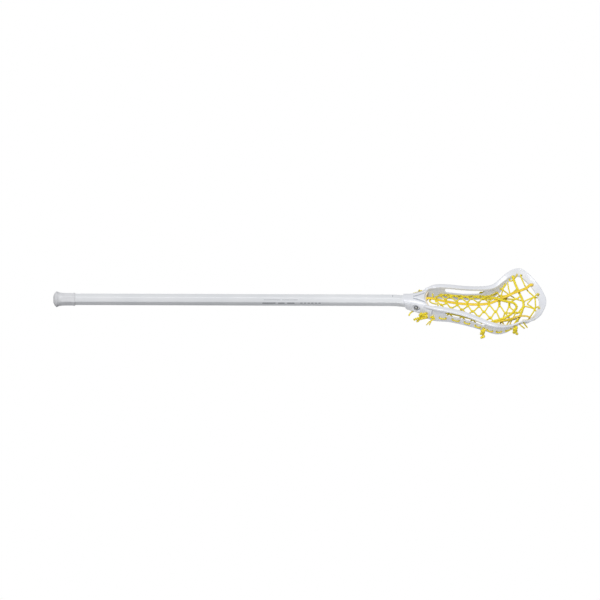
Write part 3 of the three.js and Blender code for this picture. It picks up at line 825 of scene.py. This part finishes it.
def joined(objects):
    """Several cutters as one object."""
    verts, faces = [], []
    for obj in objects:
        base = len(verts)
        verts += [v.co[:] for v in obj.data.vertices]
        faces += [[base + i for i in p.vertices] for p in obj.data.polygons]
        bpy.data.objects.remove(obj)
    data = bpy.data.meshes.new("cutters")
    data.from_pydata(verts, [], faces)
    return add_object("cutters", data)


def window_cutter(turn):
    """The long opening in a side wall, between its lip and its lower rail."""
    start, end = 871 * MM, 952 * MM
    top, floor = [], []
    for x in np.linspace(start, end, 14):
        s = station_at(x)
        rail = (19.5 - 3.0 * (x - start) / (end - start)) * MM
        top.append((x, s.rim[2] - 5.5 * MM))
        floor.append((x, s.foot[2] + rail))
    tail = (start - 4 * MM, floor[0][1] * 0.4 + top[0][1] * 0.6)
    nose = (end + 5 * MM, floor[-1][1] * 0.6 + top[-1][1] * 0.4)
    outline = [tail, *floor, nose, *top[::-1]]
    rows = [[turn(vec(x, y, z)) for x, z in outline] for y in (22 * MM, 80 * MM)]
    return loft_object("cutter", rows)


def throat_grooves():
    """One groove carries the rim's outer edge over the throat; one hollows out the side below its ridge."""
    over = course((797, 2.8, 10.8), (804, 5.2, 10.6), (811, 8.6, 10.9), (823, 15, 11.2),
                  (831, 21.5, 11.4), (839, 27.5, 12.4), (847, 30.5, 13.4))
    below = course((799, 20.6, 5.5), (806, 22.4, 5), (812, 25, 4.5), (818, 28, 4.1),
                   (824, 32.5, 3.8), (829, 37.5, 3.5))
    return [resample(points, 3 * MM) for points in (over, below)]


def head_holes():
    """The holes of one wall: each a place along it, its rise if not the usual one, and its radius."""
    lace_holes = [(x, None, HOLE) for x in (*SIDE_HOLES, SIDE_END_HOLE, TOP_HOLE)]
    return [*lace_holes, *[(x, None, THICK_HOLE) for x in SHOOTING_HOLES],
            *[(x, rise, THICK_HOLE) for x, rise in (THROAT_TIE, RAIL_TIE)]]


def make_head():
    """Rim and throat as one skin, cut by the ball stop's arc, the holes, the grooves and the socket."""
    head = loft_object("head_nylon", rim_rings())
    first, last = THROAT_SECTIONS[0, 0], THROAT_SECTIONS[-1, 0]
    throat = loft_object("throat", [throat_section(x) for x in np.linspace(first, last, 20)])
    arc = [(STOP_CENTRE_X + STOP_RADIUS * math.cos(a), STOP_RADIUS * math.sin(a)) for a in turns(96)]
    boolean(throat, loft_object("hollow", [[vec(x, y, z) for x, y in arc] for z in (-0.06, 0.06)]))
    boolean(head, throat, "UNION")

    cutters = []
    for _, turn in SIDES:
        cutters.append(window_cutter(turn))
        for x, rise, radius in head_holes():
            ends = (-7 * MM, 9 * MM) if rise is None else (-12 * MM, 14 * MM)
            cutters.append(tube_object([turn(beside_wall(x, end, rise)) for end in ends], radius))
        for x, y in SCOOP_HOLES:
            cutters.append(tube_object([turn(vec(x, y, z)) for z in (-0.02, 0.02)], THICK_HOLE))
    boolean(head, joined(cutters))
    for path in throat_grooves():
        boolean(head, joined([tube_object(turn(path), GROOVE_RADIUS, 16) for _, turn in SIDES]))

    socket_stations = [x for x in tube_stations(BEND_START, SHAFT_END + 2.5 * MM) if x > 762 * MM]
    socket = [octagon_at(x, SHAFT_FLATS + 2 * GAP, 2 * GAP) for x in socket_stations]
    boolean(head, loft_object("socket", socket))
    screw_axis = [vec(SCREW_X, y, SCREW_Z) for y in (0, -0.04)]
    boolean(head, tube_object(screw_axis, SCREW_HOLE))
    wide, high = SCREW_POCKET
    oval = [(SCREW_X + wide * math.cos(a), SCREW_Z + high * math.sin(a)) for a in turns(96)]
    boolean(head, loft_object("pocket", [[vec(x, y, z) for x, z in oval] for y in (SCREW_SEAT, -0.045)]))
    moulded(head, 0.9 * MM / DETAIL ** 0.5, 7)
    finish_piece(head, NYLON, "stick", "head_plastic", "head_frame")


def make_pad():
    """A curved strip of foam on the throat's front face, with rounded edges and ends."""
    outer = STOP_RADIUS - GAP
    inner = outer - PAD_THICKNESS
    low, high = (corner.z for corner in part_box("ball_stop_pad"))
    half = math.asin(PAD_HALF_WIDTH / outer)
    rows = []
    for share in np.linspace(-1, 1, 41):
        angle = math.pi + half * share
        slim = 1.6 * MM * (1 - math.sqrt(max(0.0, 1 - share ** 12)))
        ring = []
        for a in turns(28):
            r = (outer + inner) / 2 + ((outer - inner) / 2 - slim) * squarish(math.cos(a), 0.4)
            z = (low + high) / 2 + ((high - low) / 2 - slim) * squarish(math.sin(a), 0.22)
            ring.append(vec(STOP_CENTRE_X + r * math.cos(angle), r * math.sin(angle), z))
        rows.append(ring)
    finish_piece(loft_object("ball_stop_foam", rows), FOAM, "stick", "pad_foam", "ball_stop_pad")


# ---- Screw ----
def turned_rows(profile):
    """Rings of radius and height round the screw's axis; height runs along -Y from the seat."""
    return [[vec(SCREW_X + radius * math.cos(a), SCREW_SEAT - height, SCREW_Z - radius * math.sin(a))
             for a in turns(48)] for radius, height in profile]


def make_screw():
    """A pointed, threaded shank under a domed head with a cross recess."""
    radius, shank, under = SCREW_HEAD_RADIUS, SCREW_SHANK, WASHER_TOP
    profile = [(0.15 * MM, under - 14 * MM), (0.9 * MM, under - 12.8 * MM)]
    for height in np.arange(-11.4, -0.6, 0.1):
        thread = 0.45 * abs(2 * ((height / SCREW_PITCH_MM) % 1.0) - 1)
        profile.append((shank - thread * MM, under + height * MM))
    profile += [(shank, under - 0.2 * MM), (radius - 0.2 * MM, under), (radius, under + 0.25 * MM)]
    for angle in np.linspace(0, math.pi / 2, 8):
        dome = under + 1.2 * MM + (SCREW_HEAD_HEIGHT - 1.2 * MM) * math.sin(angle)
        profile.append((radius * (0.62 + 0.38 * math.cos(angle)), dome))
    top = under + SCREW_HEAD_HEIGHT
    profile += [(radius * 0.3, top), (0.05 * MM, top)]
    screw = loft_object("head_screw_turned", turned_rows(profile[::-1]))
    corners = ((-1, -1), (1, -1), (1, 1), (-1, 1))
    for wide, tall in ((4.8 * MM, 0.95 * MM), (0.95 * MM, 4.8 * MM)):
        rows = []
        for depth, share in ((-1 * MM, 1.1), (1.5 * MM, 0.55)):
            y = SCREW_SEAT - top + depth
            rows.append([vec(SCREW_X + a * wide / 2 * share, y, SCREW_Z + b * tall / 2 * share)
                         for a, b in corners])
        boolean(screw, loft_object("slot", rows))
    finish_piece(screw, STEEL, "screw", "screw_steel", "head_screw", sharp=35)


def make_washer():
    """A flat ring with broken edges."""
    bore, radius, low, high, edge = 2.25 * MM, 5 * MM, GAP, WASHER_TOP - GAP, 0.15 * MM
    profile = [(bore, low), (radius - edge, low), (radius, low + edge), (radius, high - edge),
               (radius - edge, high), (bore + edge, high), (bore, high - edge)]
    washer = loft_object("screw_washer_ring", turned_rows(profile), closed=True)
    finish_piece(washer, STEEL, "washer", "screw_steel", "screw_washer", sharp=35)


# ---- Net ----
def net_height(x, y):
    """Level with the thong in the middle and with the rail at the edge."""
    edge = beside_wall(min(x, SIDE_END_HOLE), INSIDE)
    middle = lookup(NET_MIDDLE, x)
    rail = edge[2] - middle
    square = (16 * lookup(NET_SHOULDER, x) - rail) / 3
    share = min(1.0, abs(y) / edge[1])
    return middle + square * share ** 2 + (rail - square) * share ** 4


def on_net(x, y):
    return vec(x, y, net_height(x, y))


def pulled_rise(x, side):
    """The net's edge above the wall's foot: level with the holes, but pulled up beside the pocket."""
    return lookup(HOLE_RISE, x) + PULL[side] * min(1.0, max(0.0, (985 * MM - x) / (30 * MM)))


def hook(node, toward, lift):
    """Three points of a lace that turns at a node and hooks the lace on its other side."""
    aside, rise = vec(1.5 * MM, 0, 0), vec(0, 0, 1.1 * MM * lift)
    reach = toward * 1.3 * MM
    return [node - aside + reach * 0.2 + rise, node + reach, node + aside + reach * 0.2 - rise]


def zigzag(*rows):
    """One lace between two rows of nodes, each given with the side (-1 or 1) it is hooked from."""
    points = []
    for i in range(max(len(nodes) for nodes, _ in rows)):
        for nodes, side in rows:
            if i < len(nodes):
                points += hook(nodes[i], vec(0, side, 0), side)
    return points


def scoop_laces(middles, inner, outer):
    """The open laces between the last crossings, the wall and the upper string."""
    aside = vec(0.001, 0, 0)
    wall = [beside_wall(x * MM, INSIDE - 0.6 * MM) for x in (994, 1007)]
    fork = on_net(1013 * MM, 39 * MM)
    near = on_net(1026 * MM, 22 * MM)
    string = course((1030, 47, -7.5), (1037, 26, -9.6), (1041, 8, -9.6))
    return (
        [wall[0], *hook(fork, vec(0.5, -0.5, 0), 1), *hook(near, vec(0.4, -0.6, 0), 1), string[2]],
        [wall[1] + vec(0, 0, 2 * MM), (wall[1] + fork) / 2, fork + vec(0.001, 0.001, 0)],
        [outer[-1], fork, (fork + string[0]) / 2, string[0]],
        [inner[-1], (inner[-1] + fork) / 2, fork],
        [inner[-1] + aside, near, string[1]],
        [middles[-1], (middles[-1] + near) / 2, near, string[1] + aside],
    )


def thong_loop(middle):
    """The loop that ties the two middle crossings at one x together round the thong."""
    x, _, z = middle
    base = net_height(x, 0)
    over = THONG_HALF_HEIGHT + LACE + 0.2 * MM
    half, fall, loop = 1.3 * MM, 0.6 * MM, []
    near, far, beside = SPLIT - 1.5 * MM, SPLIT + 1.5 * MM, 2.4 * MM
    for way in (1, -1):
        at, level, bridge = x - way * half, z + way * fall, base + way * over
        loop += [vec(x, way * far, z), vec(at, way * near, level), vec(at, way * beside, bridge),
                 vec(at, -way * beside, bridge), vec(at, -way * near, level)]
    return loop


def make_cross_lace():
    """The diamonds of the pocket, the cord along its edge and the laces up to the scoop."""
    builder = Builder()
    middles = [on_net(x, SPLIT) for x in MIDDLE_ROW]
    inner = [on_net(x, y) for x, y in INNER_ROW]
    outer = [on_net(x, y) for x, y in OUTER_ROW]
    for side, turn in SIDES:
        rail = [beside_wall(x, INSIDE - 1.2 * MM, pulled_rise(x, side)) for x in RAIL_ROW]
        for path in (zigzag((middles, -1), (inner, 1)), zigzag((inner, -1), (outer, 1)),
                     zigzag((rail, 1), (outer, -1)), rail[:5]):
            braid(builder, turn(path))
    for _, turn in SIDES:
        for path in scoop_laces(middles, inner, outer):
            braid(builder, turn(path))
    for middle in middles:
        braid(builder, thong_loop(middle), closed=True)
    cord_piece(builder, "cross_lace_braid", "lace", "cross_lace")


def make_thongs():
    """The two flat thongs: one down the middle and over the scoop's ledge, one beside the near rail."""
    centre = [*course((823, 0, 3), (827, 0, 6), (834, 0, 7)), *[vec(x, 0, z) for x, z in NET_MIDDLE[1:7]],
              *course((990, 12, -6.5), (1020, 28, -4), (1036, 35.5, -3.5), (1048, 41.5, -2.5),
                      (1054.5, 45, 1.2), (1059.5, 48.3, 2.4), (1062.3, 50.1, 0.2), (1062.6, 50.4, -7))]
    side = course((1062.5, -50.3, -1), (1062, -50, -9), (1057.5, -46.5, -9.5), (1048, -44.5, -4),
                  (1031, -46, -2.5), (1011, -46.5, -10), (986, -49, -16.5), (976, -51, -18.5))
    for name, thong in (("centre", centre), ("side", side)):
        builder = Builder()
        flat_braid(builder, thong)
        cord_piece(builder, f"{name}_thong_cord", "thong", f"{name}_thong")


def shooting_string(kind, hole, middle, tail, size):
    """A thick string from wall to wall, knotted outside each, with a short tail."""
    away = unit(station_at(hole).out + vec(0, 0, -1.1))
    held = beside_wall(hole, OUTSIDE + 1 * MM) + away * size * 2.6
    through = [beside_wall(hole, -4 * MM), beside_wall(hole, OUTSIDE - 1 * MM)]
    end = [*through, *overhand(held, away, vec(1, 0, 0), size), *tail]
    builder = Builder()
    twist(builder, [*mirror(end[::-1]), *middle, *end])
    cord_piece(builder, f"{kind}_shooting_cord", "shooting_string", f"{kind}_shooting_string")


def make_shooting_strings():
    """The deep U, which passes over the thong on its way back, and the shallow one nearer the scoop."""
    deep = course((973, -45, -20.5), (984, -43.5, -17.6), (1001, -38.5, -14.4), (1014, -27, -14.8),
                  (1022, -15, -15.2), (1026.5, -3, -16), (1020, 2.5, -10), (1008, 1.5, -5),
                  (995, 3.5, -3), (984, 8.5, -2.2), (975, 15, -6), (967, 22, -15.5), (960, 31, -24))
    half = course((1025, 58, -5.5), (1033, 37, -11), (1039, 17, -11))
    shallow = [*mirror(half), point(1042, 0, -11), *half[::-1]]
    lower, upper = SHOOTING_HOLES
    shooting_string("lower", lower, deep, course((953, 67, -46), (946, 66, -50)), 2.6 * MM)
    shooting_string("upper", upper, shallow, course((1025, 90, -13), (1024, 89.5, -15)), 2.9 * MM)


def under_shooting(hole):
    """Two points that take a sidewall lace below a thick string's hole."""
    rise = lookup(HOLE_RISE, hole) - 6 * MM
    return [beside_wall(hole + dx * MM, INSIDE - 1 * MM, rise) for dx in (-4, 4)]


def make_sidewall_strings():
    """A lace on each side, in and out of the wall's holes and up to the net's edge between them."""
    lower, upper = SHOOTING_HOLES
    for name, turn in SIDES:
        points = []
        for i, x in enumerate(SIDE_HOLES):
            passes = [beside_wall(x, INSIDE), beside_wall(x, OUTSIDE)]
            points += passes if i % 2 == 0 else passes[::-1]
            if i % 2 == 1 and x < lower - 10 * MM:
                middle = (x + SIDE_HOLES[i + 1]) / 2
                points.append(beside_wall(middle, INSIDE, pulled_rise(middle, name)))
            if x < lower < SIDE_HOLES[i + 1]:
                points += under_shooting(lower)
        points += [*under_shooting(upper), beside_wall(SIDE_END_HOLE, INSIDE - 1 * MM),
                   beside_wall(SIDE_END_HOLE, OUTSIDE + 2 * MM), point(1041.5, 82, -4.5)]
        builder = Builder()
        braid(builder, turn(points))
        cord_piece(builder, f"sidewall_lace_{name}", "lace", f"sidewall_string_{name}")


def make_top_string():
    """The lace across the scoop, its loops through two scoop holes and the triangles between."""
    builder = Builder()
    half = [point(1047.5, 81, -3.2), beside_wall(TOP_HOLE, OUTSIDE + 2 * MM), beside_wall(TOP_HOLE, INSIDE),
            *course((1049, 50, -10.5), (1055, 39, -12), (1066, 19, -8))]
    braid(builder, [*half, point(1068, 0, -8.5), *mirror(half[::-1])])
    loop = course((1064.5, 19, -9), (1066, 17.5, -6), (1071, 19.5, 0), (1074, 20.5, 1.2),
                  (1075.3, 21, -2), (1075, 21.5, -9), (1071, 21.5, -12), (1067, 21, -9.5))
    long_side = course((1067.5, 20, -6.6), (1064, 17.8, -7), (1046, 9, -9), (1042.5, 8.5, -13),
                       (1040.5, 8, -9))
    short_side = course((1067.5, 16.5, -9), (1065, 18, -6.5), (1050, 0.8, -10))
    for _, turn in SIDES:
        braid(builder, turn(loop), closed=True)
        braid(builder, turn(long_side))
        braid(builder, turn(short_side))
    cord_piece(builder, "top_lace", "lace", "top_string")


def make_throat_string():
    """The lace that closes the net at the throat, from wall to wall."""
    builder = Builder()
    left, right = (beside_wall(x * MM, INSIDE - 1 * MM, 20 * MM) for x in (838, 851))
    middle = course((841, 18, -6), (837, 7, -1), (835, 0, 1.5), (833, -4.5, 2.5), (838, -8.5, 0.8),
                    (846, -11.3, 0.3), (851.5, -13, -0.4))
    braid(builder, [left, *middle, mirror(right)])
    cord_piece(builder, "throat_lace", "lace", "throat_string")


def make_tie(kind, hole, sag, tails, radius, knot_size, stray, cord):
    """A string's end on each side: out through its hole, knotted there, with two tails and maybe a stray."""
    x, rise = hole
    fine = 9 * MM
    held = beside_wall(x, 5.5 * MM, rise) + sag
    knot = overhand(held, vec(0.62, 0.1, -0.78), vec(0, 1, 0), knot_size)
    inner_end = [beside_wall(x, -4 * MM, rise), beside_wall(x, 3 * MM, rise)]
    starts = [[*inner_end, *knot], [held + point(1, 0, -2) * (radius / THICK)]]
    for name, turn in SIDES:
        builder = Builder()
        for start, tail in zip(starts, tails):
            path = [*start, held + tail * 0.5 + vec(0, 1.5 * MM, 0), held + tail]
            twist(builder, turn(path), radius * 0.9, 2, fine)
        if stray:
            twist(builder, turn(stray), LACE * 1.3, 2, fine)
        cord_piece(builder, f"{kind}_knot_{name}", cord, f"{kind}_tie_{name}")


def make_ties():
    """The thick knots at the throat, and the thinner ones at the start of the rails."""
    stray = course((799, 12, -21), (794, 14.5, -22), (790.5, 17.5, -23), (787.3, 22, -27))
    make_tie("throat", THROAT_TIE, point(-6.5, 1.5, -2.5), course((-14.5, 6, -15), (-21.5, 5, -9.5)),
             THICK * 1.1, 2.9 * MM, stray, "shooting_string")
    make_tie("rail", RAIL_TIE, point(0, 1.5, 0), course((-13, 9, -15), (-7, 9, -15)),
             LACE * 1.15, 1.7 * MM, [], "lace")


# ---- Stage ----
def aimed(data, place, toward):
    """A light or camera at a place, looking along a direction."""
    obj = add_object(data.name, data)
    obj.location = place
    obj.rotation_mode = "QUATERNION"
    obj.rotation_quaternion = toward.to_track_quat("-Z", "Y")
    return obj


def make_stage():
    """The floor, an even pale sky, a soft sun from above and a soft lamp on the head's near side."""
    data = bpy.data.meshes.new("studio_floor")
    reach, below = 40.0, -0.9
    corners = [(x * reach, y * reach, below) for x, y in ((-1, -1), (1, -1), (1, 1), (-1, 1))]
    data.from_pydata(corners, [], [(0, 1, 2, 3)])
    data.materials.append(floor_material())
    add_object("studio_floor", data)

    world = bpy.data.worlds.new("studio")
    bpy.context.scene.world = world
    world.use_nodes = True
    background = world.node_tree.nodes["Background"]
    background.inputs["Color"].default_value = (0.96, 0.98, 1, 1)
    background.inputs["Strength"].default_value = 0.16

    sun = bpy.data.lights.new("soft_key", "SUN")
    sun.energy = 2.8
    sun.angle = math.radians(40)
    aimed(sun, Vector((0, 0, 0)), Vector((0.15, 0.25, -1)))

    lamp = bpy.data.lights.new("head_fill", "SPOT")
    lamp.shadow_soft_size = 0.3
    lamp.spot_size = math.radians(24)
    lamp.spot_blend = 0.8
    lamp.energy = 32
    place = Vector((1.0, -1.45, 0.7))
    aimed(lamp, place, Vector((0.97, 0, -0.01)) - place)


def make_camera():
    """Far off with a long lens, 45 degrees above the side."""
    camera = bpy.data.cameras.new("camera")
    camera.lens = 300
    camera.sensor_width = 36
    camera.clip_end = 200
    view_width, roll = 1.329, 0.0032
    distance = view_width * camera.lens / camera.sensor_width
    target = Vector((0.5462, 0, 0))
    back = Vector((0, -math.cos(math.radians(45)), math.sin(math.radians(45))))
    obj = aimed(camera, target + back * distance, -back)
    obj.rotation_quaternion = obj.rotation_quaternion @ Quaternion((0, 0, 1), roll)
    bpy.context.scene.camera = obj
    bpy.context.scene.view_settings.view_transform = "Standard"


make_shaft()
make_shaft_print()
make_cap()
make_head()
make_pad()
make_screw()
make_washer()
make_cross_lace()
make_thongs()
make_shooting_strings()
make_sidewall_strings()
make_top_string()
make_throat_string()
make_ties()
make_stage()
make_camera()
